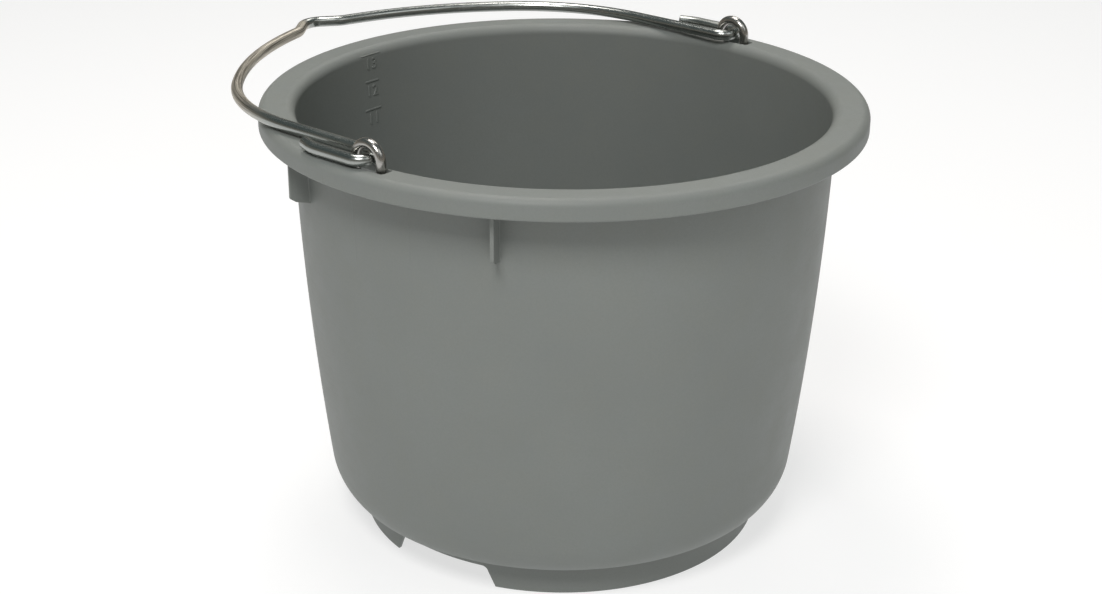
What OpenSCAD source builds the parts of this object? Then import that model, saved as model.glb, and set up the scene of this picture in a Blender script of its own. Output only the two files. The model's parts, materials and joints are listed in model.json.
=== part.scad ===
// Builder's bucket, 13 litres: one moulded plastic bucket, two wire eyes
// snapped into slots in its rim, and a steel wire bail hooked through them.
// The bail lies folded back on the rim. +Z is up, the origin is on the
// bucket's axis in the plane that the foot ring stands on, the hinge line
// through the eyes lies along X, and the folded bail points along +Y.

/* [Bucket] */
// Height from the foot ring to the top of the rim
bucket_h = 243; // [225:1:260]
// Outer radius of the rim
rim_r = 164; // [162:1:168]
// Outer radius of the wall where it meets the rim
wall_top_r = 146.6; // [144.6:0.5:147.6]
// Outer radius of the wall where the lower corner starts
wall_low_r = 132.6; // [129:0.2:135]
// Height at which the lower corner starts
wall_low_z = 37.2; // [35:0.1:41]
// Lean of the wall from vertical at that height
wall_low_lean = 7; // [5:0.5:8]
// Thickness of the wall
wall_t = 2.5; // [2:0.1:3]
// Outer radius of the rounded lower corner
corner_r = 28.5; // [25:0.5:32]
// Height of the underside of the floor
floor_z = 21.5; // [18:0.5:24]
// Thickness of the floor
floor_t = 3; // [2.5:0.1:4]

/* [Rim] */
// Thickness of the rim's plate and skirt
rim_t = 2.7; // [2:0.1:3]
// Radius of the lip between the inner wall and the rim's top
lip_r = 5.7; // [5:0.1:7]
// Radius of the rim's outer top edge
edge_r = 4.6; // [4:0.1:6]
// Depth of the rim's skirt below its top
skirt_h = 11; // [9:0.1:14]

/* [Foot ring] */
// Outer radius of the foot ring where it stands
foot_r = 113.7; // [107:0.1:117]
// Thickness of the foot ring
foot_t = 3; // [2.5:0.1:4]
// Half the angle that each hand notch takes up
notch_half_angle = 17.3; // [12:0.1:22]
// Turn of each notch's centre from its eye
notch_offset = 4.7; // [0:0.1:6]
// Height of the hand notches
notch_h = 11.9; // [8:0.1:14]

/* [Stacking fins] */
// Turn of each fin from the eye beside it
fin_turn = 25.8; // [20:0.1:32]
// Thickness of a fin
fin_t = 2; // [1.8:0.1:3]
// Radius of a fin's outer edge
fin_r = 156.5; // [152:0.1:161]
// Height of a fin's lowest point, at the wall
fin_low_z = 203.5; // [195:0.5:215]
// Height at which its outer edge ends
fin_edge_z = 207.4; // [205:0.1:220]

/* [Litre scale] */
// Litres that the three marks stand for
mark_litres = [11, 12, 13];
// Height of each mark's line
mark_z = [206.2, 223.2, 239.5];
// Length of each mark's line
mark_len = [13.3, 10.8, 15.4];
// Turn of the scale from the folded bail
mark_turn = 1.7; // [0:0.1:4]
// Height of the digits
digit_h = 6.4; // [5:0.1:8]
// How far lines and digits stand out of the wall
mark_relief = 0.4; // [0.3:0.05:0.8]

/* [Eyes] */
// Diameter of the eye wire
eye_d = 5.3; // [4.8:0.1:5.4]
// How far the hinge line through the eyes lies off the bucket's axis, along Y
hinge_y = -4.1; // [-6:0.1:0]
// Distance of each eye from the bucket's axis, along X
eye_x = 151.7; // [151.4:0.1:152]
// Radius of each arch, at the middle of the wire
arch_r = 8.4; // [8.2:0.1:9]
// Height of the middle of the wire at the arch's crown, above the rim
arch_rise = 11.8; // [11.6:0.1:15]
// Length of the slot in the rim
slot_len = 25.6; // [25:0.1:28]
// Width of the slot in the rim
slot_w = 7.7; // [7:0.1:8]

/* [Bail] */
// Diameter of the bail wire
bail_d = 6.2; // [5:0.1:6.2]
// Gap between the folded bail and the rim
bail_gap = 0.9; // [0.8:0.1:1.2]
// Distance from the hinge line to the middle of the wire at its centre
bail_reach = 205; // [199:1:215]
// Half the distance between the two straight legs
leg_x = 143.3; // [142.8:0.1:143.4]
// Radius of the hooks, at the middle of the wire
hook_r = 7.4; // [7.2:0.1:7.6]
// Straight length of a hook's free end
hook_len = 21.8; // [16:0.1:28]

/* [Hidden] */
$fn = 96;

plastic = [0.49, 0.50, 0.48];
steel = [0.72, 0.72, 0.70];
arc_steps = 12;
over = 1;
lap = 0.3;
swell = 0.04;

// The rim is bent from the wall's own thickness: its lip starts at lip_z, and
// the plate's underside is at plate_z.
lip_z = bucket_h - lip_r;
plate_z = bucket_h - rim_t;
wall_in_r = wall_top_r - wall_t;
lip_x = wall_in_r + lip_r;

// The wall is one slightly barrelled arc of radius wall_r. Its lean falls from
// wall_low_lean at the corner to wall_top_lean at the rim.
chord = atan((wall_top_r - wall_low_r) / (lip_z - wall_low_z));
wall_top_lean = 2 * chord - wall_low_lean;
wall_r = (lip_z - wall_low_z) / (sin(wall_low_lean) - sin(wall_top_lean));
wall_cx = wall_low_r - wall_r * cos(wall_low_lean);
wall_cz = wall_low_z + wall_r * sin(wall_low_lean);

// Centre of the outer lower corner, and the angle at which it meets the floor.
corner_cx = wall_low_r - corner_r * cos(wall_low_lean);
corner_cz = wall_low_z + corner_r * sin(wall_low_lean);
corner_end = asin((corner_cz - floor_z) / corner_r);

// The inner corner is tangent to the inner wall and to the floor.
floor_top = floor_z + floor_t;
wall_in_low_z = wall_cz - (wall_r - wall_t) * sin(wall_low_lean);
in_corner_r = (wall_in_low_z - floor_top) / (1 - sin(wall_low_lean));
in_corner_cx = wall_cx + (wall_r - wall_t - in_corner_r) * cos(wall_low_lean);
in_corner_cz = floor_top + in_corner_r;

// Points of an arc about [cx, cz], its angles measured down from horizontal.
function arc(cx, cz, r, a0, a1) =
    [for (i = [0:arc_steps])
        let (a = a0 + (a1 - a0) * i / arc_steps)
        [cx + r * cos(a), cz - r * sin(a)]];

// Outer and inner outlines of the wall, from the floor's axis up to the lip.
outer_line = concat(
    arc(corner_cx, corner_cz, corner_r, corner_end, wall_low_lean),
    [for (p = arc(wall_cx, wall_cz, wall_r, wall_low_lean, wall_top_lean))
        if (p[1] > wall_low_z + 0.01) p]);
inner_line = concat(
    arc(in_corner_cx, in_corner_cz, in_corner_r, 90, wall_low_lean),
    [for (p = arc(wall_cx, wall_cz, wall_r - wall_t, wall_low_lean, wall_top_lean))
        if (p[1] > wall_in_low_z + 0.01) p]);

// Inner radius of the wall at height z.
function inner_r(z) =
    wall_cx + sqrt(pow(wall_r - wall_t, 2) - pow(wall_cz - z, 2));

// Height of the bail's hinge line, and of the eyes' feet under the rim.
hinge_z = bucket_h + bail_d / 2 + bail_gap;
eye_foot_z = plate_z - eye_d / 2;
foot_bend_r = 5.1;
foot_len = 11.3;
clip_y = arch_r + foot_bend_r + foot_len / 2;

// Turn of each eye from the X axis, and of each fin from +X.
eye_turn = asin(-hinge_y / eye_x);
function fin_angle(i) =
    let (a = eye_turn + (i % 2 == 0 ? -1 : 1) * fin_turn) i < 2 ? 180 + a : -a;

// The bail's bends, from the peak at its centre out to one hook. The slopes
// are the wire's angle to the hinge line after each bend.
peak_r = 12.3;
peak_slope = 38;
notch_r = 16.4;
shoulder_slope = 16;
shoulder_r = 205;
side_slope = 43.4;
side_r = 107.6;
hook_in = 20;
hook_in_r = 25.6;
tip_len = 4;
short_run = 3;
peak_run = (leg_x - peak_r * sin(peak_slope)
    - notch_r * (sin(peak_slope) - sin(shoulder_slope))
    - shoulder_r * (sin(side_slope) - sin(shoulder_slope))
    - side_r * (1 - sin(side_slope))
    - short_run * (cos(shoulder_slope) + cos(side_slope))) / cos(peak_slope);
bow_h = peak_r * (1 - cos(peak_slope)) + peak_run * sin(peak_slope)
    + notch_r * (cos(shoulder_slope) - cos(peak_slope))
    + shoulder_r * (cos(shoulder_slope) - cos(side_slope))
    + side_r * cos(side_slope)
    + short_run * (sin(shoulder_slope) + sin(side_slope));
hook_y = hook_r - 1.2;
leg_len = bail_reach - bow_h - hook_y;
// Each step is [radius, turn], or [length, 0] for a straight run.
bail_steps = [
    [peak_run, 0],
    [notch_r, peak_slope - shoulder_slope],
    [short_run, 0],
    [shoulder_r, shoulder_slope - side_slope],
    [short_run, 0],
    [side_r, side_slope - 90],
    [leg_len, 0],
    [hook_r, 180],
    [hook_len, 0],
    [hook_in_r, hook_in],
    [tip_len, 0]
];

// A bend in a wire that arrives along +X at the origin, to the left if turn is
// positive. Bending swells the wire by a hair.
module bend(r, turn, d) {
    translate([0, sign(turn) * r, 0]) rotate([0, 0, turn > 0 ? -90 : 90 + turn])
        rotate_extrude(angle = abs(turn)) translate([r, 0]) circle(d = d + swell);
}

// Wire that runs along +X from the origin and follows the steps in the XY
// plane. Straight runs reach a little way into the bends beside them.
module bent_wire(steps, d, i = 0) {
    if (i < len(steps)) {
        size = steps[i][0];
        turn = steps[i][1];
        last = i == len(steps) - 1;
        if (turn == 0)
            translate([-lap, 0, 0]) rotate([0, 90, 0])
                cylinder(d = d, h = size + (last ? lap : 2 * lap));
        else
            bend(size, turn, d);
        translate(turn == 0 ? [size, 0, 0]
            : [size * sin(abs(turn)), sign(turn) * size * (1 - cos(turn)), 0])
            rotate([0, 0, turn]) bent_wire(steps, d, i + 1);
    }
}

// Everything inside the bucket's outer surface, from the floor up to the lip.
module outer_body() {
    rotate_extrude() polygon(concat([[0, floor_z]], outer_line, [[0, lip_z]]));
}

// The space inside the bucket's wall and lip.
module cavity() {
    rotate_extrude()
        polygon(concat([[0, floor_top]], inner_line,
            arc(lip_x, lip_z, lip_r, 180, 270), [[0, bucket_h]]));
}

module bucket_shell() {
    color(plastic) difference() {
        outer_body();
        cavity();
    }
}

// Plate and skirt of the rim, bent over from the wall in one thickness.
module rim_sheet() {
    edge_x = rim_r - edge_r;
    rotate_extrude() polygon(concat(
        arc(lip_x, lip_z, lip_r, 180, 270),
        arc(edge_x, bucket_h - edge_r, edge_r, -90, 0),
        [[rim_r, bucket_h - skirt_h], [rim_r - rim_t, bucket_h - skirt_h]],
        arc(edge_x, bucket_h - edge_r, edge_r - rim_t, 0, -90),
        arc(lip_x, lip_z, lip_r - rim_t, 270, 180)));
}

module slot() {
    translate([eye_x - slot_w / 2, hinge_y - slot_len / 2, plate_z - lip_r])
        cube([slot_w, slot_len, lip_r + rim_t + over]);
}

// Rib under the rim that an eye's foot snaps into.
module clip(y) {
    clip_t = 2.5;
    clip_h = 8;
    reach = rim_r - rim_t - eye_x + 2;
    difference() {
        intersection() {
            translate([wall_in_r, y - clip_t / 2, plate_z - clip_h])
                cube([eye_x + reach - wall_in_r, clip_t, clip_h + 0.2]);
            cylinder(r = rim_r - rim_t + 0.2, h = bucket_h);
        }
        outer_body();
        translate([eye_x, y, eye_foot_z]) rotate([90, 0, 0])
            cylinder(d = eye_d, h = clip_t + over, center = true);
        translate([eye_x - eye_d / 2, y - clip_t, eye_foot_z])
            cube([eye_d, 2 * clip_t, eye_d]);
    }
}

module rim() {
    color(plastic) {
        difference() {
            rim_sheet();
            for (flip = [0, 1]) mirror([flip, 0, 0]) slot();
        }
        for (flip = [0, 1], side = [-1, 1]) mirror([flip, 0, 0]) clip(hinge_y + side * clip_y);
    }
}

// Outline of a hand notch, seen along the bucket's radius: narrower at the
// top, with rounded upper corners.
module notch_outline() {
    half = foot_r * sin(notch_half_angle);
    top_half = half - 5;
    round_r = 3;
    polygon([[-half, -over], [half, -over], [top_half + 1, notch_h - round_r],
        [-top_half - 1, notch_h - round_r]]);
    for (side = [-1, 1])
        translate([side * (top_half - round_r + 1), notch_h - round_r]) circle(r = round_r);
    translate([-top_half + round_r - 1, notch_h - 2 * round_r])
        square([2 * (top_half - round_r + 1), 2 * round_r]);
}

module foot_ring() {
    foot_round = 1;
    draft = 0.9;
    color(plastic) difference() {
        rotate_extrude() polygon([
            [foot_r - foot_t, 0], [foot_r - foot_round, 0], [foot_r, foot_round],
            [foot_r + draft, floor_z], [foot_r - foot_t, floor_z]]);
        for (turn = [0, 180]) rotate([0, 0, turn + notch_offset])
            rotate([90, 0, 90]) linear_extrude(height = foot_r + 10) notch_outline();
    }
}

// Fin that keeps stacked buckets apart, seen in the plane of the axis.
module fin(angle) {
    chamfer = 3;
    lip_mid = lip_r - rim_t / 2;
    color(plastic) rotate([0, 0, angle]) difference() {
        translate([0, fin_t / 2, 0]) rotate([90, 0, 0]) linear_extrude(height = fin_t)
            polygon([[wall_in_r, fin_low_z], [fin_r - chamfer, fin_low_z + 1.8],
                [fin_r, fin_edge_z], [fin_r, plate_z], [lip_x, plate_z],
                [lip_x - lip_mid * cos(40), lip_z + lip_mid * sin(40)], [wall_in_r, lip_z]]);
        outer_body();
        rim_sheet();
    }
}

// Outlines of the digits 1, 2 and 3, 10 high and 6 wide, in strokes of 1.4.
module digit(n) {
    if (n == 1) polygon([[2.6, 0], [4, 0], [4, 10], [2.8, 10], [0.8, 8.2], [0.8, 6.6], [2.6, 8]]);
    if (n == 3) polygon(concat(
        [for (i = [0:8]) [3 + 2.8 * cos(160 - 25 * i), 7.2 + 2.8 * sin(160 - 25 * i)]],
        [for (i = [0:9]) [3 + 3 * cos(55 - 24 * i), 2.9 + 2.9 * sin(55 - 24 * i)]],
        [for (i = [9:-1:0]) [3 + 1.6 * cos(70 - 25 * i), 2.9 + 1.5 * sin(70 - 25 * i)]],
        [[2.2, 4.5], [2.2, 5.7]],
        [for (i = [0:9]) [3 + 1.4 * cos(25 * i - 65), 7.2 + 1.4 * sin(25 * i - 65)]]));
    if (n == 2) polygon(concat(
        [for (i = [0:8]) [3 + 3 * cos(170 - 26 * i), 7 + 3 * sin(170 - 26 * i)]],
        [[2.2, 1.4], [6, 1.4], [6, 0], [0, 0], [0, 1.2]],
        [for (i = [8:-1:0]) [3 + 1.6 * cos(170 - 26 * i), 7 + 1.6 * sin(170 - 26 * i)]]));
}

// Line and number of litres, raised on the inner wall near +Y.
module mark(i) {
    z = mark_z[i];
    line_t = 1.2;
    digit_gap = 2.4;
    pitch = 0.75 * digit_h;
    depth = 3;
    color(plastic) rotate([0, 0, mark_turn]) intersection() {
        translate([0, inner_r(z) + over, 0]) rotate([90, 0, 0]) linear_extrude(height = depth) {
            translate([-mark_len[i] / 2, z - line_t / 2]) square([mark_len[i], line_t]);
            for (k = [0, 1])
                translate([(k - 1) * pitch, z - digit_gap - digit_h]) scale(digit_h / 10)
                    digit(k == 0 ? 1 : mark_litres[i] - 10);
        }
        difference() {
            cavity();
            cylinder(r = inner_r(z) - mark_relief - 0.3, h = bucket_h);
        }
    }
}

// Wire arch whose legs go down through the slot and whose feet lie under the
// rim, snapped into the clips.
module eye(side) {
    leg_h = bucket_h + arch_rise - arch_r - eye_foot_z - foot_bend_r;
    steps = [[leg_h, 0], [foot_bend_r, 90], [foot_len, 0]];
    color(steel) translate([side * eye_x, hinge_y, bucket_h + arch_rise - arch_r])
        rotate([90, 0, 90]) {
            translate([-arch_r, 0, 0]) rotate([0, 0, 90]) bend(arch_r, -180, eye_d);
            for (flip = [0, 1]) mirror([flip, 0, 0])
                translate([arch_r, 0, 0]) rotate([0, 0, -90]) bent_wire(steps, eye_d);
        }
}

module bail() {
    color(steel) translate([0, hinge_y + bail_reach, hinge_z]) {
        translate([0, -peak_r, 0]) rotate([0, 0, peak_slope]) translate([0, peak_r, 0])
            bend(peak_r, -2 * peak_slope, bail_d);
        for (flip = [0, 1]) mirror([flip, 0, 0])
            translate([peak_r * sin(peak_slope), -peak_r * (1 - cos(peak_slope)), 0])
                rotate([0, 0, -peak_slope]) bent_wire(bail_steps, bail_d);
    }
}

bucket_shell();
rim();
foot_ring();
for (i = [0:3])
    fin(fin_angle(i));
for (i = [0:2])
    mark(i);
eye(-1);  // eye_left
eye(1);  // eye_right
bail();
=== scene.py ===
"""Builder's bucket: the visual model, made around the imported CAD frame.

Metres, +Z up, origin on the bucket's axis where its foot ring stands. The hinge
line through the wire eyes lies along X and the folded bail points along +Y.
"""

import json
from math import asin, atan2, ceil, cos, degrees, hypot, pi, radians, sin, sqrt, tau

import bmesh
import bpy
from mathutils import Matrix, Vector


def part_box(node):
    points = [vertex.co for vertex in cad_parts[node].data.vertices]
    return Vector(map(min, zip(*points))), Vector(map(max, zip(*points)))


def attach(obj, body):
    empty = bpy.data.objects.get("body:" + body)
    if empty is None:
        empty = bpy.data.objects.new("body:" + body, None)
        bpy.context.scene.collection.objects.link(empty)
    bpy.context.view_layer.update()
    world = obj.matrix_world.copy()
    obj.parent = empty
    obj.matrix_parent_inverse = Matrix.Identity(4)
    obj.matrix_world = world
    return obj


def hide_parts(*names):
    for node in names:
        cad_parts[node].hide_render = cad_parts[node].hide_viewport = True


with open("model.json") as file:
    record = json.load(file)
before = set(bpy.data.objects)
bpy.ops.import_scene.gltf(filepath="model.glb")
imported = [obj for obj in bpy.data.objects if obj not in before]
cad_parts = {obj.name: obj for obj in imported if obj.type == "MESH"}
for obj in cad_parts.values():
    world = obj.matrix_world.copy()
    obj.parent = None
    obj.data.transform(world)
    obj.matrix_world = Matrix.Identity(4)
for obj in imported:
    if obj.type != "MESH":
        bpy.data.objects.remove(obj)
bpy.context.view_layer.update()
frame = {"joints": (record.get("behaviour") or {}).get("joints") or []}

MM = 0.001

# Driving sizes, read from the frame.
rim_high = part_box("rim")[1]
eye_low, eye_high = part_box("eye_right")
bail_low, bail_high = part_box("bail")
TOP_Z = rim_high[2]
RIM_R = rim_high[0]
EYE_D = eye_high[0] - eye_low[0]
EYE_X = (eye_high[0] + eye_low[0]) / 2
HINGE_Y, HINGE_Z = frame["joints"][0]["pos_m"][1:]
BAIL_D = bail_high[2] - bail_low[2]
BAIL_REACH = bail_high[1] - BAIL_D / 2 - HINGE_Y

# The moulding, as part.scad has it.
WALL_T = 2.5 * MM
WALL_TOP_R = 146.6 * MM
WALL_LOW = (132.6 * MM, 37.2 * MM)
WALL_LOW_LEAN = radians(7)
CORNER_R = 28.5 * MM
FLOOR_Z = 21.5 * MM
FLOOR_TOP = 24.5 * MM
RIM_T = 2.7 * MM
LIP_R = 5.7 * MM
EDGE_R = 4.6 * MM
SKIRT_H = 11 * MM
FOOT_R = 113.7 * MM
FOOT_T = 3 * MM
FOOT_DRAFT = 0.9 * MM
SLOT_LEN = 25.6 * MM
SLOT_W = 7.7 * MM
NOTCH_H = 11.9 * MM
NOTCH_HALF = FOOT_R * sin(radians(17.3))
NOTCH_TURN = radians(4.7)
FIN_TURN = radians(25.8)
FIN_T = 2 * MM
FIN_R = 156.5 * MM
FIN_LOW_Z = 203.5 * MM
FIN_EDGE_Z = 207.4 * MM
MARK_LITRES = (11, 12, 13)
MARK_Z = (206.2 * MM, 223.2 * MM, 239.5 * MM)
MARK_LEN = (13.3 * MM, 10.8 * MM, 15.4 * MM)
MARK_TURN = radians(1.7)
DIGIT_H = 6.4 * MM
MARK_RELIEF = 0.4 * MM
# The mould's witness lines: faint upright lines on the wall beside each eye.
WITNESS_TURN = radians(7.4)
WITNESS_HALF = radians(0.2)
WITNESS_LOW_Z = 187 * MM
WITNESS_H = 0.12 * MM
WITNESS_FADE = 3 * MM
ARCH_R = 8.4 * MM
CLIP_Y = 19.15 * MM

# The eyes aren't on a diameter: each is this far round from the X axis.
EYE_TURN = asin(-HINGE_Y / EYE_X)
# The wall is one shallow arc, and both lower corners are tangent to it.
LIP_Z = TOP_Z - LIP_R
LIP_X = WALL_TOP_R - WALL_T + LIP_R
PLATE_Z = TOP_Z - RIM_T
CHORD_LEAN = atan2(WALL_TOP_R - WALL_LOW[0], LIP_Z - WALL_LOW[1])
WALL_TOP_LEAN = 2 * CHORD_LEAN - WALL_LOW_LEAN
WALL_R = (LIP_Z - WALL_LOW[1]) / (sin(WALL_LOW_LEAN) - sin(WALL_TOP_LEAN))
WALL_CX = WALL_LOW[0] - WALL_R * cos(WALL_LOW_LEAN)
WALL_CZ = WALL_LOW[1] + WALL_R * sin(WALL_LOW_LEAN)
CORNER_CX = WALL_LOW[0] - CORNER_R * cos(WALL_LOW_LEAN)
CORNER_CZ = WALL_LOW[1] + CORNER_R * sin(WALL_LOW_LEAN)
IN_LOW_Z = WALL_CZ - (WALL_R - WALL_T) * sin(WALL_LOW_LEAN)
IN_CORNER_R = (IN_LOW_Z - FLOOR_TOP) / (1 - sin(WALL_LOW_LEAN))
IN_CORNER_CX = WALL_CX + (WALL_R - WALL_T - IN_CORNER_R) * cos(WALL_LOW_LEAN)


def wall_outer(z):
    """Outer radius of the wall at height z."""
    return WALL_CX + sqrt(WALL_R ** 2 - (WALL_CZ - z) ** 2)


def wall_inner(z):
    """Inner radius of the wall at height z."""
    return WALL_CX + sqrt((WALL_R - WALL_T) ** 2 - (WALL_CZ - z) ** 2)


# ---------------------------------------------------------------- mesh helpers

def arc(cx, cz, r, start, end, steps):
    """Points of an arc about (cx, cz), angles in degrees, both ends included."""
    return [(cx + r * cos(radians(start + (end - start) * i / steps)),
             cz + r * sin(radians(start + (end - start) * i / steps)))
            for i in range(steps + 1)]


def line(a, b, steps):
    """Points strictly between a and b."""
    return [(a[0] + (b[0] - a[0]) * i / steps, a[1] + (b[1] - a[1]) * i / steps)
            for i in range(1, steps)]


def new_object(name, bm, smooth=True):
    """Object from a bmesh, which is freed."""
    bmesh.ops.recalc_face_normals(bm, faces=bm.faces)
    mesh = bpy.data.meshes.new(name)
    bm.to_mesh(mesh)
    bm.free()
    obj = bpy.data.objects.new(name, mesh)
    bpy.context.scene.collection.objects.link(obj)
    mesh.polygons.foreach_set("use_smooth", [smooth] * len(mesh.polygons))
    return obj


def loft(bm, rings):
    """Skins closed rings of points, all of the same length, and caps both ends."""
    loops = [[bm.verts.new(p) for p in ring] for ring in rings]
    count = len(rings[0])
    for low, high in zip(loops, loops[1:]):
        for i in range(count):
            j = (i + 1) % count
            bm.faces.new((low[i], low[j], high[j], high[i]))
    bm.faces.new(loops[0][::-1])
    bm.faces.new(loops[-1])


def evaluated_mesh(obj):
    """The object's mesh with its modifiers, or a text object's as a mesh."""
    graph = bpy.context.evaluated_depsgraph_get()
    return bpy.data.meshes.new_from_object(obj.evaluated_get(graph))


def cut(obj, cutters):
    """Takes the cutters out of obj, and deletes them."""
    for cutter in cutters:
        mod = obj.modifiers.new("cut", "BOOLEAN")
        mod.operation = "DIFFERENCE"
        mod.solver = "EXACT"
        mod.object = cutter
    mesh = evaluated_mesh(obj)
    obj.modifiers.clear()
    obj.data = mesh
    for cutter in cutters:
        bpy.data.objects.remove(cutter)


def weighted_normals(obj):
    """Keeps large faces flat in the shading beside small rounded edges."""
    mod = obj.modifiers.new("normals", "WEIGHTED_NORMAL")
    mod.keep_sharp = True
    mod.weight = 80


# ---------------------------------------------------------------- the moulding

def bucket_profile():
    """Closed outline of the moulding, from the axis under the floor, out, over
    the rim and back to the axis on top of the floor."""
    foot_in = FOOT_R - FOOT_T
    # Radii of the rounded edges.
    root, sole_in, sole_out, ledge = 1.5 * MM, 0.8 * MM, 1.0 * MM, 1.2 * MM
    brow, tip = 2.2 * MM, 1.1 * MM
    foot_top_r = FOOT_R + FOOT_DRAFT
    skirt_z = TOP_Z - SKIRT_H
    skirt_in = RIM_R - RIM_T
    edge_x = RIM_R - EDGE_R
    # The brow rounds the edge between the ledge and the lower corner.
    brow_cx = CORNER_CX + sqrt((CORNER_R - brow) ** 2 - (CORNER_CZ - FLOOR_Z - brow) ** 2)
    brow_cz = FLOOR_Z + brow
    brow_end = degrees(atan2(brow_cz - CORNER_CZ, brow_cx - CORNER_CX))
    lean_low, lean_top = degrees(WALL_LOW_LEAN), degrees(WALL_TOP_LEAN)

    points = [(r * MM, FLOOR_Z) for r in (4, 12, 30, 55, 80, 98, 103)]
    points += arc(foot_in - root, FLOOR_Z - root, root, 90, 0, 5)
    points += line((foot_in, FLOOR_Z - root), (foot_in, sole_in), 5)
    points += arc(foot_in + sole_in, sole_in, sole_in, 180, 270, 5)
    points += arc(FOOT_R - sole_out, sole_out, sole_out, 270, 360, 6)
    points += line((FOOT_R, sole_out), (foot_top_r, FLOOR_Z - ledge), 7)
    points += arc(foot_top_r + ledge, FLOOR_Z - ledge, ledge, 180, 90, 5)
    points += line((foot_top_r + ledge, FLOOR_Z), (brow_cx, FLOOR_Z), 4)
    points += arc(brow_cx, brow_cz, brow, -90, brow_end, 8)
    points += arc(CORNER_CX, CORNER_CZ, CORNER_R, brow_end, -lean_low, 22)[1:]
    points += arc(WALL_CX, WALL_CZ, WALL_R, -lean_low, -lean_top, 40)[1:]
    points += arc(LIP_X, LIP_Z, LIP_R - RIM_T, 180, 90, 8)[1:]
    points += line((LIP_X, PLATE_Z), (edge_x, PLATE_Z), 4)
    points += arc(edge_x, TOP_Z - EDGE_R, EDGE_R - RIM_T, 90, 0, 6)
    points += line((skirt_in, TOP_Z - EDGE_R), (skirt_in, skirt_z + tip), 3)
    points += arc(skirt_in + tip, skirt_z + tip, tip, 180, 270, 5)
    points += arc(RIM_R - tip, skirt_z + tip, tip, 270, 360, 5)
    points += line((RIM_R, skirt_z + tip), (RIM_R, TOP_Z - EDGE_R), 3)
    points += arc(edge_x, TOP_Z - EDGE_R, EDGE_R, 0, 90, 14)
    points += line((edge_x, TOP_Z), (LIP_X, TOP_Z), 6)
    points += arc(LIP_X, LIP_Z, LIP_R, 90, 180, 16)
    points += arc(WALL_CX, WALL_CZ, WALL_R - WALL_T, -lean_top, -lean_low, 40)[1:]
    points += arc(IN_CORNER_CX, FLOOR_TOP + IN_CORNER_R, IN_CORNER_R, -lean_low, -90, 18)[1:]
    points += [(r * MM, FLOOR_TOP) for r in (100, 80, 55, 30, 12, 4)]
    return points


def witness_turns():
    """Angles of the mould's witness lines, one on each side of each eye."""
    return [eye + side * WITNESS_TURN
            for eye in (-EYE_TURN, pi + EYE_TURN) for side in (-1, 1)]


def angle_between(a, b):
    """Angle between two directions, from 0 to pi."""
    return abs((a - b + pi) % tau - pi)


def column_angles():
    """Angles of the moulding's columns, closer together at the witness lines."""
    angles = [radians(a) for a in range(360)]
    fine = (-0.4, -0.2, -0.1, 0, 0.1, 0.2, 0.4)
    cleared = radians(fine[-1] + 0.05)
    for at in witness_turns():
        angles = [a for a in angles if angle_between(a, at) > cleared]
        angles += [at + radians(step) for step in fine]
    return sorted(a % tau for a in angles)


def witness(angle, r, z):
    """How far a witness line of the mould stands out of the outer wall."""
    start_z = WITNESS_LOW_Z - WITNESS_FADE
    if not start_z < z < LIP_Z or r < wall_outer(z) - 0.1 * MM:
        return 0
    off = min(angle_between(angle, at) for at in witness_turns())
    fade = min(1, (z - start_z) / WITNESS_FADE)
    return WITNESS_H * fade * max(0, 1 - off / WITNESS_HALF)


def make_bucket():
    """The whole moulding as one turned skin, with its slots and notches cut."""
    profile = bucket_profile()
    bm = bmesh.new()
    columns = []
    for a in column_angles():
        column = []
        for r, z in profile:
            out = r + witness(a, r, z)
            column.append(bm.verts.new((out * cos(a), out * sin(a), z)))
        columns.append(column)
    under = bm.verts.new((0, 0, FLOOR_Z))
    over = bm.verts.new((0, 0, FLOOR_TOP))
    for i, here in enumerate(columns):
        there = columns[(i + 1) % len(columns)]
        for k in range(len(profile) - 1):
            bm.faces.new((here[k], there[k], there[k + 1], here[k + 1]))
        bm.faces.new((under, there[0], here[0]))
        bm.faces.new((over, here[-1], there[-1]))
    bucket = new_object("bucket_moulding", bm)
    cutters = [slot_cutter(side) for side in (-1, 1)]
    cutters += [notch_cutter(turn) for turn in (0, pi)]
    cut(bucket, cutters)
    return bucket


def rounded_rect(half_x, half_y, corner):
    """Outline of a rectangle with round corners, counter-clockwise."""
    points = []
    for cx, cy, start in ((1, 1, 0), (-1, 1, 90), (-1, -1, 180), (1, -1, 270)):
        points += arc(cx * (half_x - corner), cy * (half_y - corner), corner,
                      start, start + 90, 6)
    return points


def flare(depth, radius):
    """How much wider a hole is at this depth below a face with a rounded edge."""
    if depth >= radius:
        return 0
    return radius - sqrt(radius ** 2 - (radius - depth) ** 2)


def slot_cutter(side):
    """Slot for an eye's legs, its top edges rounded over."""
    edge, corner = 0.6 * MM, 1.2 * MM
    depths = [edge * (1 - cos(radians(10 * i))) for i in range(1, 10)]
    levels = [(TOP_Z + 2 * MM, edge * 1.05), (TOP_Z + 0.01 * MM, edge * 1.02)]
    levels += [(TOP_Z - d, flare(d, edge)) for d in depths]
    levels += [(PLATE_Z - 6 * MM, 0)]
    rings = []
    for z, wide in levels:
        outline = rounded_rect(SLOT_W / 2 + wide, SLOT_LEN / 2 + wide, corner + wide)
        rings.append([(side * EYE_X + x, HINGE_Y + y, z) for x, y in outline])
    bm = bmesh.new()
    loft(bm, rings)
    return new_object("slot_cutter", bm)


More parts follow.
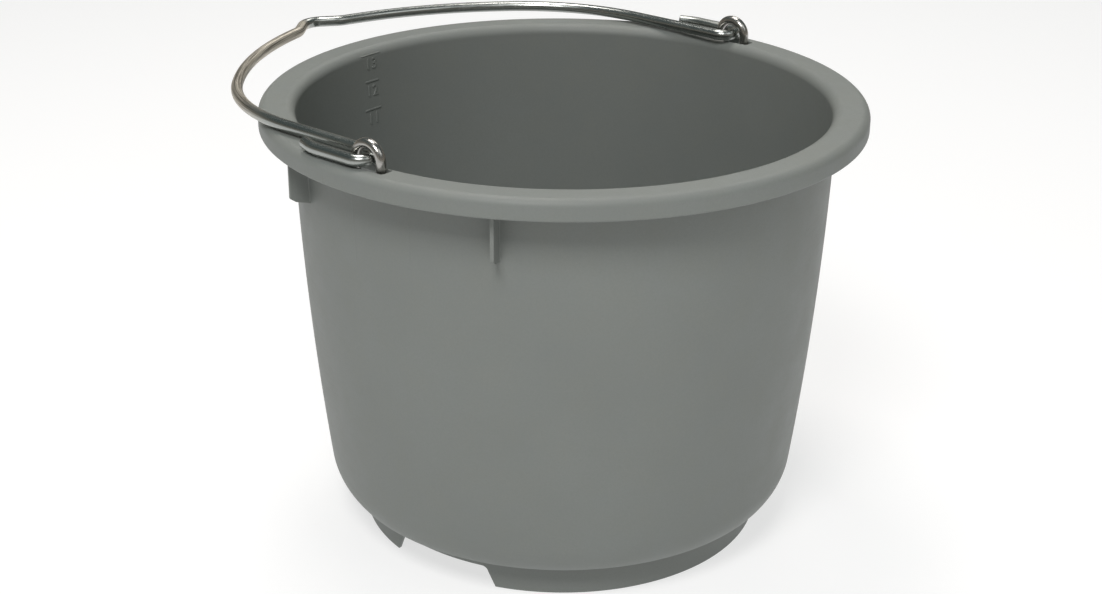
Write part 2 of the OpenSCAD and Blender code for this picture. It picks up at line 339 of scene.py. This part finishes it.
def notch_outline(grow):
    """Outline of a hand notch across the foot, grown outwards by grow. Its sides
    lean in towards the top, and run on as far as low, under the sole."""
    narrowing, corner, low = 4 * MM, 3.6 * MM, -4 * MM
    low_half = NOTCH_HALF - low * narrowing / (NOTCH_H - corner)
    corner_x = NOTCH_HALF - narrowing - corner
    points = [(low_half + grow, low)]
    points += arc(corner_x, NOTCH_H - corner, corner + grow, 12, 90, 8)
    points += line((corner_x, NOTCH_H + grow), (-corner_x, NOTCH_H + grow), 16)
    points += arc(-corner_x, NOTCH_H - corner, corner + grow, 90, 168, 8)
    points += [(-low_half - grow, low)]
    return points


def notch_cutter(turn):
    """Hand notch through the foot ring, its edges rounded inside and out."""
    # Each level follows the ring's round face, so the edge is even.
    rings = [[(sqrt(r * r - y * y), y, z) for y, z in notch_outline(grow)]
             for r, grow in notch_levels()]
    bm = bmesh.new()
    loft(bm, rings)
    bmesh.ops.rotate(bm, verts=bm.verts, matrix=Matrix.Rotation(turn + NOTCH_TURN, 3, "Z"))
    return new_object("notch_cutter", bm)


def notch_levels():
    """Radii through the foot ring, and how far the notch is flared at each."""
    edge = 0.7 * MM
    inner, outer = FOOT_R - FOOT_T, FOOT_R + 0.25 * MM
    steps = [edge * (1 - cos(radians(15 * i))) for i in range(1, 7)]
    levels = [(inner - 4 * MM, edge), (inner - 0.01 * MM, edge)]
    levels += [(inner + d, flare(d, edge)) for d in steps]
    levels += [(outer - d, flare(d, edge)) for d in reversed(steps)]
    levels += [(outer + 0.01 * MM, edge), (outer + 8 * MM, edge)]
    return levels


def fin_angles():
    """Angles of the four fins, two beside each eye, as in part.scad."""
    before, after = EYE_TURN - FIN_TURN, EYE_TURN + FIN_TURN
    return pi + before, pi + after, -before, -after


def make_fin(name, angle):
    """Stacking fin: a thin blade with rounded edges and a filleted root."""
    edge, root, sunk = 0.35 * MM, 0.6 * MM, 0.4 * MM
    low = (wall_outer(FIN_LOW_Z), FIN_LOW_Z)
    corner = (FIN_R - 3 * MM, FIN_LOW_Z + 1.8 * MM)
    edge_low, edge_top = (FIN_R, FIN_EDGE_Z), (FIN_R, PLATE_Z)
    top_z = PLATE_Z + 0.3 * MM
    outline = [low, *line(low, corner, 9), corner, *line(corner, edge_low, 5),
               edge_low, *line(edge_low, edge_top, 24), (FIN_R, top_z)]
    # Each ring runs from the wall to one point of the outline and back.
    fractions = ([0, 0.02, 0.04, 0.06, 0.09] + [0.12 + 0.8 * i / 10 for i in range(10)]
                 + [0.95, 0.965, 0.975, 0.985, 0.993, 0.998, 1])
    rings = []
    for i, (r, z) in enumerate(outline):
        foot_z = FIN_LOW_Z + (top_z - FIN_LOW_Z) * (i / (len(outline) - 1)) ** 1.4
        foot_z = min(foot_z, z)
        foot_r = wall_outer(min(foot_z, LIP_Z)) - sunk
        span = hypot(r - foot_r, z - foot_z)
        side = []
        for f in fractions:
            at_r, at_z = foot_r + (r - foot_r) * f, foot_z + (z - foot_z) * f
            to_wall = max(0, at_r - wall_outer(min(at_z, LIP_Z)))
            to_plate = max(0, PLATE_Z - at_z)
            half = FIN_T / 2 - flare(min(span * (1 - f), edge), edge)
            half += flare(to_wall, root) + flare(to_plate, root) * 0.6
            side.append((at_r, half, at_z))
        rings.append(side + [(at_r, -half, at_z) for at_r, half, at_z in reversed(side)])
    bm = bmesh.new()
    loft(bm, rings)
    bmesh.ops.rotate(bm, verts=bm.verts, matrix=Matrix.Rotation(angle, 3, "Z"))
    return new_object(name, bm)


def make_clip(name, side, y):
    """Rib under the rim, with the seat that an eye's foot snaps into."""
    half_t, clip_h, chamfer = 1.25 * MM, 8 * MM, 0.25 * MM
    seat_r = EYE_D / 2
    bottom = PLATE_Z - clip_h
    inner, outer = wall_outer(bottom) - 0.5 * MM, RIM_R - RIM_T + 0.3 * MM
    outline = [(inner, PLATE_Z), (inner, bottom + 0.6 * MM), (inner + MM, bottom),
               (outer - 1.5 * MM, bottom), (outer, bottom + MM), (outer, PLATE_Z),
               (EYE_X + seat_r, PLATE_Z)]
    outline += arc(EYE_X, PLATE_Z - seat_r, seat_r, 0, -180, 12)
    outline += [(EYE_X - seat_r, PLATE_Z)]
    rings = []
    for across, lift in ((-half_t, chamfer), (-half_t + chamfer, 0),
                         (half_t - chamfer, 0), (half_t, chamfer)):
        rings.append([(side * x, HINGE_Y + y + across, z + (lift if z < bottom + 1.5 * MM else 0))
                      for x, z in outline])
    bm = bmesh.new()
    loft(bm, rings)
    return new_object(name, bm, smooth=False)


# ---------------------------------------------------------------- litre scale

def digits_mesh(name, litres):
    """The number as a flat drawing: x to the right, y up, z out of the wall."""
    # Height of a digit in the built-in font, at a text size of 1.
    digit_share = 0.69
    text = bpy.data.curves.new(name + "_text", "FONT")
    text.body = str(litres)
    text.size = DIGIT_H / digit_share
    text.align_x = "CENTER"
    text.space_character = 1.12
    text.extrude = MARK_RELIEF / 2 + 0.2 * MM
    text.bevel_depth = 0.12 * MM
    text.bevel_resolution = 2
    text.offset = -0.02 * MM
    text_obj = bpy.data.objects.new(name + "_text", text)
    bpy.context.scene.collection.objects.link(text_obj)
    mesh = evaluated_mesh(text_obj)
    bpy.data.objects.remove(text_obj)
    return mesh


def make_mark(name, litres, line_z, length):
    """A line and its number, raised on the inner wall near +Y, edges rounded."""
    digits_gap, half_t, corner = 2.4 * MM, 0.6 * MM, 0.3 * MM
    bm = bmesh.new()
    bm.from_mesh(digits_mesh(name, litres))
    bmesh.ops.remove_doubles(bm, verts=bm.verts, dist=0.001 * MM)
    bmesh.ops.translate(bm, verts=bm.verts, vec=(0, -(digits_gap + DIGIT_H), 0))
    rings = []
    for depth, inset in ((-0.2, 0), (0.2, 0), (0.33, 0.06), (0.4, 0.2)):
        outline = rounded_rect(length / 2 - inset * MM, half_t - inset * MM, corner)
        rings.append([(x, y, depth * MM) for x, y in outline])
    loft(bm, rings)
    # Long edges are split, so that they can follow the round wall.
    long_edges = [e for e in bm.edges if e.calc_length() > 2.5 * MM]
    bmesh.ops.subdivide_edges(bm, edges=long_edges, cuts=8)
    # Wrap the flat drawing on to the wall, or on to the lip above it.
    for v in bm.verts:
        z = min(line_z + v.co.y, LIP_Z + 2.2 * MM)
        r = LIP_X - sqrt(LIP_R ** 2 - (z - LIP_Z) ** 2) if z > LIP_Z else wall_inner(z)
        r -= min(v.co.z, MARK_RELIEF)
        a = v.co.x / r - MARK_TURN
        v.co = Vector((r * sin(a), r * cos(a), z))
    return new_object(name, bm)


# ---------------------------------------------------------------- wires

def walk(steps, start, heading, pitch):
    """Plane path: each step is (radius, turn) in degrees or (length, 0)."""
    x, y = start
    points = [(x, y)]
    for size, turn in steps:
        if turn == 0:
            count = max(1, ceil(size / pitch))
            h = radians(heading)
            points += [(x + size * i / count * cos(h), y + size * i / count * sin(h))
                       for i in range(1, count + 1)]
        else:
            side = 1 if turn > 0 else -1
            count = max(6, ceil(size * radians(abs(turn)) / pitch))
            h = radians(heading)
            cx, cy = x - side * size * sin(h), y + side * size * cos(h)
            for i in range(1, count + 1):
                h = radians(heading + turn * i / count)
                points.append((cx + side * size * sin(h), cy - side * size * cos(h)))
            heading += turn
        x, y = points[-1]
    return points


def sweep(name, path, radius, sides=32, shape=None):
    """Round wire along path. Each vertex keeps its place on the wire in the
    attribute wire_co: two coordinates across it, and its distance along it from
    its middle. shape(distance, degrees) scales the radius, for dents."""
    path = [Vector(p) for p in path]
    lengths = [0.0]
    for a, b in zip(path, path[1:]):
        lengths.append(lengths[-1] + (b - a).length)
    normal = Vector((0, 0, 1))
    if abs((path[1] - path[0]).normalized().z) > 0.9:
        normal = Vector((1, 0, 0))
    rings, coords = [], []
    for i, p in enumerate(path):
        forward = (path[min(i + 1, len(path) - 1)] - path[max(i - 1, 0)]).normalized()
        normal = (normal - forward * normal.dot(forward)).normalized()
        across = forward.cross(normal)
        s = lengths[i] - lengths[-1] / 2
        ring, ring_co = [], []
        for k in range(sides):
            a = tau * k / sides
            r = radius * (shape(s, degrees(a)) if shape else 1)
            ring.append(p + normal * (r * cos(a)) + across * (r * sin(a)))
            ring_co.append((radius * cos(a), radius * sin(a), s))
        rings.append(ring)
        coords.append(ring_co)
    first, first_co = wire_end(path[0], path[0] - path[1], radius, rings[0], coords[0], -1)
    last, last_co = wire_end(path[-1], path[-1] - path[-2], radius, rings[-1], coords[-1], 1)
    bm = bmesh.new()
    loft(bm, first[::-1] + rings + last)
    obj = new_object(name, bm)
    layer = obj.data.attributes.new("wire_co", "FLOAT_VECTOR", "POINT")
    places = [c for ring in first_co[::-1] + coords + last_co for c in ring]
    for item, place in zip(layer.data, places):
        item.vector = place
    return obj


def wire_end(centre, outward, radius, ring, ring_co, sign):
    """Rings and their wire_co that close a cut end: a small rounded edge and a
    nearly flat face. sign is -1 at the wire's start and 1 at its end."""
    edge = 0.5 * MM
    outward = outward.normalized()
    rings, coords = [], []
    for step in (0.25, 0.5, 0.75, 1.0):
        scale = 1 - edge * (1 - cos(step * pi / 2)) / radius
        push = edge * sin(step * pi / 2)
        rings.append([centre + (p - centre) * scale + outward * push for p in ring])
        coords.append([(x * scale, y * scale, s + sign * push) for x, y, s in ring_co])
    return rings, coords


def bail_steps():
    """The bail's bends from the middle of its peak out to one hook, the same
    as in part.scad."""
    leg_x = 143.3 * MM
    peak_r, peak_slope, notch_r, shoulder_slope = 12.3 * MM, 38, 16.4 * MM, 16
    shoulder_r, side_slope, side_r, short_run = 205 * MM, 43.4, 107.6 * MM, 3 * MM
    hook_r, hook_len, hook_in, hook_in_r, tip_len = 7.4 * MM, 21.8 * MM, 20, 25.6 * MM, 4 * MM
    s = {a: sin(radians(a)) for a in (peak_slope, shoulder_slope, side_slope)}
    c = {a: cos(radians(a)) for a in (peak_slope, shoulder_slope, side_slope)}
    peak_run = (leg_x - peak_r * s[peak_slope] - notch_r * (s[peak_slope] - s[shoulder_slope])
                - shoulder_r * (s[side_slope] - s[shoulder_slope]) - side_r * (1 - s[side_slope])
                - short_run * (c[shoulder_slope] + c[side_slope])) / c[peak_slope]
    bow_h = (peak_r * (1 - c[peak_slope]) + peak_run * s[peak_slope]
             + notch_r * (c[shoulder_slope] - c[peak_slope])
             + shoulder_r * (c[shoulder_slope] - c[side_slope]) + side_r * c[side_slope]
             + short_run * (s[shoulder_slope] + s[side_slope]))
    leg_len = BAIL_REACH - bow_h - hook_r + 1.2 * MM
    return [(peak_r, -peak_slope), (peak_run, 0), (notch_r, peak_slope - shoulder_slope),
            (short_run, 0), (shoulder_r, shoulder_slope - side_slope), (short_run, 0),
            (side_r, side_slope - 90), (leg_len, 0), (hook_r, 180), (hook_len, 0),
            (hook_in_r, hook_in), (tip_len, 0)]


def bail_dents(distance, angle):
    """The flat that the bending tool pinched inside the peak, and a nick where
    the bow turns into the far leg. Angle 0 is the top, 90 the inner side."""
    pinch = (3.5 * MM, 100, 3.6 * MM, 42, 0.13)
    nick = (192 * MM, 78, 2.6 * MM, 16, 0.1)
    scale = 1
    for at, side, half_len, half_angle, depth in (pinch, nick):
        turn = (angle - side + 180) % 360 - 180
        off = hypot((distance - at) / half_len, turn / half_angle)
        scale -= depth * max(0, 1 - off ** 3)
    return scale


def make_bail():
    """The bail as it lies on the rim, from one hook over the peak to the other."""
    half = walk(bail_steps(), (0, BAIL_REACH), 0, 0.9 * MM)
    path = ([(-x, HINGE_Y + y, HINGE_Z) for x, y in half[:0:-1]]
            + [(x, HINGE_Y + y, HINGE_Z) for x, y in half])
    return sweep("bail_wire", path, BAIL_D / 2, 40, bail_dents)


def make_eye(name, side):
    """One eye: an arch, two legs through the slot and two feet under the rim."""
    crown_z = eye_high[2] - EYE_D / 2
    centre_z = crown_z - ARCH_R
    foot_bend, foot_len = 5.1 * MM, 11.3 * MM
    foot_z = PLATE_Z - EYE_D / 2
    leg = centre_z - foot_z - foot_bend
    half = walk([(ARCH_R, -90), (leg, 0), (foot_bend, 90), (foot_len, 0)],
                (0, crown_z), 0, 0.7 * MM)
    path = ([(side * EYE_X, HINGE_Y - y, z) for y, z in half[:0:-1]]
            + [(side * EYE_X, HINGE_Y + y, z) for y, z in half])
    return sweep(name, path, EYE_D / 2)


# ---------------------------------------------------------------- materials

class Nodes:
    """A material's node tree, with short calls to add and join nodes."""

    def __init__(self, name):
        self.material = bpy.data.materials.new(name)
        self.material.use_nodes = True
        self.tree = self.material.node_tree
        self.shader = self.tree.nodes["Principled BSDF"]

    def add(self, kind, **settings):
        node = self.tree.nodes.new("ShaderNode" + kind)
        for key, value in settings.items():
            setattr(node, key, value)
        return node

    def join(self, source, target):
        self.tree.links.new(source, target)

    def noise(self, vector, scale, detail, rough):
        node = self.add("TexNoise")
        node.inputs["Scale"].default_value = scale
        node.inputs["Detail"].default_value = detail
        node.inputs["Roughness"].default_value = rough
        self.join(vector, node.inputs["Vector"])
        return node.outputs["Fac"]

    def scaled(self, vector, scale):
        node = self.add("Mapping")
        node.inputs["Scale"].default_value = scale
        self.join(vector, node.inputs["Vector"])
        return node.outputs["Vector"]

    def ramp(self, value, *stops):
        node = self.add("ValToRGB")
        fill_ramp(node, stops)
        self.join(value, node.inputs["Fac"])
        return node.outputs["Color"]

    def span(self, value, low, high, to_low, to_high):
        """The value, spread from low to high, spread from to_low to to_high."""
        node = self.add("MapRange")
        for key, number in zip(("From Min", "From Max", "To Min", "To Max"),
                               (low, high, to_low, to_high)):
            node.inputs[key].default_value = number
        self.join(value, node.inputs["Value"])
        return node.outputs["Result"]

    def math(self, operation, a, b):
        node = self.add("Math", operation=operation)
        for i, value in enumerate((a, b)):
            if isinstance(value, (int, float)):
                node.inputs[i].default_value = value
            else:
                self.join(value, node.inputs[i])
        return node.outputs[0]

    def mix(self, factor, a, b):
        node = self.add("Mix", data_type="RGBA")
        for key, value in (("Factor", factor), ("A", a), ("B", b)):
            socket = [s for s in node.inputs if s.name == key and s.enabled][0]
            if isinstance(value, tuple):
                socket.default_value = (*value, 1)
            else:
                self.join(value, socket)
        return [s for s in node.outputs if s.enabled][0]

    def bump(self, height, strength, distance, below=None):
        node = self.add("Bump")
        node.inputs["Strength"].default_value = strength
        node.inputs["Distance"].default_value = distance
        self.join(height, node.inputs["Height"])
        if below is not None:
            self.join(below, node.inputs["Normal"])
        return node.outputs["Normal"]


def fill_ramp(node, stops):
    """Gives a colour ramp node its stops, each a place and a colour."""
    elements = node.color_ramp.elements
    while len(elements) < len(stops):
        elements.new(0.5)
    for element, (at, colour) in zip(elements, stops):
        element.position = at
        element.color = (*colour, 1)


def tint(colour, *factors):
    """The colour times one factor, or times one for each channel."""
    if len(factors) == 1:
        factors *= 3
    return tuple(c * factor for c, factor in zip(colour, factors))


PLASTIC = (0.196, 0.211, 0.202)
BAIL_STEEL = (0.40, 0.42, 0.405)
EYE_STEEL = (0.50, 0.49, 0.47)


def plastic_material():
    """Matte grey polyethylene: a fine moulded grain, soft mottling, and faint
    rub marks that run round the bucket."""
    n = Nodes("bucket_plastic")
    place = n.add("TexCoord").outputs["Object"]
    mottle = n.noise(place, 9, 4, 0.55)
    cloud = n.noise(place, 55, 3, 0.6)
    grain = n.noise(place, 2600, 2, 0.6)
    fine = n.noise(place, 900, 3, 0.6)
    rub = n.noise(n.scaled(place, (60, 60, 900)), 1, 3, 0.7)
    base = n.mix(n.span(mottle, 0.35, 0.65, 0, 1), tint(PLASTIC, 0.955), tint(PLASTIC, 1.03))
    base = n.mix(n.span(cloud, 0.3, 0.7, 0, 0.35), base, tint(PLASTIC, 1.05, 1.02, 0.96))
    base = n.mix(n.span(fine, 0.35, 0.7, 0, 0.35), base, tint(PLASTIC, 0.86))
    base = n.mix(n.span(rub, 0.62, 0.78, 0, 0.12), base, tint(PLASTIC, 1.35))
    n.join(base, n.shader.inputs["Base Color"])
    rough = n.math("ADD", n.span(cloud, 0.3, 0.7, 0.46, 0.54), n.span(rub, 0.55, 0.8, 0, 0.1))
    n.join(rough, n.shader.inputs["Roughness"])
    n.shader.inputs["Specular IOR Level"].default_value = 0.26
    height = n.math("ADD", n.math("MULTIPLY", grain, 0.5), fine)
    soft = n.bump(cloud, 0.12, 0.4 * MM)
    n.join(n.bump(height, 0.3, 0.05 * MM, soft), n.shader.inputs["Normal"])
    return n.material


def wire_material(name, colour, rough_low, rough_high, streak, worn=None):
    """Zinc-plated steel wire: draw lines along it, soft patches of duller
    plating, and short tool marks. Between the two distances in worn the draw
    lines are coarse and dull."""
    n = Nodes(name)
    place = n.add("Attribute", attribute_name="wire_co").outputs["Vector"]
    lines = n.noise(n.scaled(place, (2400, 2400, 16)), 1, 4, 0.65)
    fine = n.noise(n.scaled(place, (6000, 6000, 90)), 1, 2, 0.6)
    patch = n.noise(n.scaled(place, (120, 120, 28)), 1, 4, 0.6)
    nick = n.noise(n.scaled(place, (900, 900, 700)), 1, 2, 0.5)
    base = n.mix(n.span(lines, 0.3, 0.7, 0, 1), tint(colour, 0.66), colour)
    base = n.mix(n.span(patch, 0.45, 0.75, 0, 0.45), base, tint(colour, 0.80, 0.80, 0.77))
    base = n.mix(n.span(nick, 0.7, 0.76, 0, 0.5), base, tint(colour, 0.35))
    rough = n.math("ADD", n.span(patch, 0.35, 0.7, rough_low, rough_high),
                   n.span(fine, 0.4, 0.7, 0, 0.08))
    height = n.math("ADD", lines, n.math("MULTIPLY", fine, 0.4))
    if worn:
        split = n.add("SeparateXYZ")
        n.join(place, split.inputs[0])
        along = split.outputs["Z"]
        mask = n.math("MULTIPLY", n.span(along, worn[0] - 20 * MM, worn[0] + 10 * MM, 0, 1),
                      n.span(along, worn[1] - 5 * MM, worn[1] + 2 * MM, 1, 0))
        coarse = n.noise(n.scaled(place, (1300, 1300, 22)), 1, 3, 0.6)
        dull = n.ramp(coarse, (0.36, (0.16, 0.15, 0.125)), (0.47, (0.42, 0.39, 0.34)),
                      (0.62, (0.66, 0.62, 0.54)))
        base = n.mix(mask, base, dull)
        rough = n.math("ADD", rough, n.math("MULTIPLY", mask, 0.24))
        height = n.math("ADD", height, n.math("MULTIPLY", mask, coarse))
    n.join(base, n.shader.inputs["Base Color"])
    n.shader.inputs["Metallic"].default_value = 1.0
    n.join(rough, n.shader.inputs["Roughness"])
    first = n.bump(height, streak, 0.05 * MM)
    n.join(n.bump(nick, 0.15, 0.05 * MM, first), n.shader.inputs["Normal"])
    return n.material


def floor_material():
    """Pale floor with a little light of its own, like a lit studio table."""
    n = Nodes("studio_floor")
    n.shader.inputs["Base Color"].default_value = (0.38, 0.38, 0.38, 1)
    n.shader.inputs["Roughness"].default_value = 0.9
    n.shader.inputs["Specular IOR Level"].default_value = 0.1
    n.shader.inputs["Emission Color"].default_value = (1, 1, 1, 1)
    n.shader.inputs["Emission Strength"].default_value = 0.66
    return n.material


# ---------------------------------------------------------------- studio

CAMERA_TURN = radians(-50.36)
CAMERA_DISTANCE = 0.9509
CAMERA_HEIGHT = 0.536
CAMERA_PITCH = radians(23.434)
CAMERA_YAW = radians(-0.379)
CAMERA_ROLL = radians(0.404)
CAMERA_LENS = 59.79
AIM_Z = 0.1


def make_camera():
    """Camera at the photograph's viewing angle, a little above the rim."""
    camera = bpy.data.cameras.new("camera")
    camera.lens = CAMERA_LENS
    camera.sensor_width = 36
    camera.clip_start = 0.05
    obj = bpy.data.objects.new("camera", camera)
    forward = Vector((sin(CAMERA_YAW) * cos(CAMERA_PITCH), cos(CAMERA_YAW) * cos(CAMERA_PITCH),
                      -sin(CAMERA_PITCH)))
    right = Vector((cos(CAMERA_YAW), -sin(CAMERA_YAW), 0))
    up = right.cross(forward)
    side = right * cos(CAMERA_ROLL) + up * sin(CAMERA_ROLL)
    top = up * cos(CAMERA_ROLL) - right * sin(CAMERA_ROLL)
    turn = Matrix.Rotation(CAMERA_TURN, 3, "Z")
    axes = Matrix([turn @ side, turn @ top, turn @ -forward]).transposed().to_4x4()
    place = turn @ Vector((0, -CAMERA_DISTANCE, CAMERA_HEIGHT))
    obj.matrix_world = Matrix.Translation(place) @ axes
    bpy.context.scene.collection.objects.link(obj)
    bpy.context.scene.camera = obj


def make_light(name, turn, distance, height, size, power, colour):
    """Soft box, its turn counted in degrees from the camera's side, aimed at
    the bucket. Sizes in metres, power in watts."""
    light = bpy.data.lights.new(name, "AREA")
    light.shape = "RECTANGLE"
    light.size, light.size_y = size
    light.energy = power
    light.color = colour
    obj = bpy.data.objects.new(name, light)
    a = CAMERA_TURN + radians(turn)
    place = Vector((distance * sin(a), -distance * cos(a), height))
    obj.location = place
    obj.rotation_euler = (Vector((0, 0, AIM_Z)) - place).to_track_quat("-Z", "Y").to_euler()
    bpy.context.scene.collection.objects.link(obj)


def make_surroundings():
    """Dim room around the studio: warm and brighter near the horizon."""
    world = bpy.data.worlds.new("studio")
    bpy.context.scene.world = world
    world.use_nodes = True
    tree = world.node_tree
    place = tree.nodes.new("ShaderNodeTexCoord")
    split = tree.nodes.new("ShaderNodeSeparateXYZ")
    ramp = tree.nodes.new("ShaderNodeValToRGB")
    fill_ramp(ramp, ((0, (0.34, 0.31, 0.26)), (0.25, (0.20, 0.19, 0.17)),
                     (0.5, (0.12, 0.145, 0.145))))
    tree.links.new(place.outputs["Generated"], split.inputs[0])
    tree.links.new(split.outputs["Z"], ramp.inputs["Fac"])
    tree.links.new(ramp.outputs["Color"], tree.nodes["Background"].inputs["Color"])


def make_studio():
    """Floor, surroundings and the four soft boxes."""
    bm = bmesh.new()
    bmesh.ops.create_grid(bm, x_segments=1, y_segments=1, size=6)
    floor = new_object("studio_floor", bm)
    floor.data.materials.append(floor_material())
    make_surroundings()
    make_light("key_box", -14, 1.2, 1.6, (0.6, 0.6), 21.5, (1, 0.985, 0.975))
    make_light("fill_box", 50, 1.3, 1.4, (0.9, 0.9), 3.2, (1, 0.98, 0.97))
    make_light("top_box", -150, 0.45, 1.75, (0.6, 0.6), 13.5, (1, 0.94, 0.90))
    make_light("back_box", 165, 1.5, 1.6, (0.8, 0.6), 5, (1, 0.96, 0.92))
    bpy.context.scene.view_settings.view_transform = "Standard"


# ---------------------------------------------------------------- assembly

def place_piece(obj, body, material, nodes=()):
    """Gives a piece its material and body, and hides the CAD nodes it replaces."""
    obj.data.materials.clear()
    obj.data.materials.append(material)
    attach(obj, body)
    if nodes:
        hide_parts(*nodes)


def main():
    plastic = plastic_material()
    near_flank = (-180 * MM, -4 * MM)
    bail_steel = wire_material("bail_wire", BAIL_STEEL, 0.18, 0.30, 0.16, near_flank)
    eye_steel = wire_material("eye_wire", EYE_STEEL, 0.15, 0.24, 0.06)
    bucket = make_bucket()
    place_piece(bucket, "bucket", plastic, ("bucket_shell", "rim", "foot_ring"))
    weighted_normals(bucket)
    for i, angle in enumerate(fin_angles()):
        fin = make_fin(f"stacking_fin_{i + 1}", angle)
        place_piece(fin, "bucket", plastic, (f"fin_{i + 1}",))
    for side, word in ((-1, "left"), (1, "right")):
        for y, end in ((-CLIP_Y, "a"), (CLIP_Y, "b")):
            clip = make_clip(f"eye_clip_{word}_{end}", side, y)
            place_piece(clip, "bucket", plastic)
        eye = make_eye(f"eye_wire_{word}", side)
        place_piece(eye, "bucket", eye_steel, (f"eye_{word}",))
    for litres, z, length in zip(MARK_LITRES, MARK_Z, MARK_LEN):
        mark = make_mark(f"litre_mark_{litres}", litres, z, length)
        place_piece(mark, "bucket", plastic, (f"mark_{litres}",))
    bail = make_bail()
    place_piece(bail, "bail", bail_steel, ("bail",))
    make_studio()
    make_camera()


main()
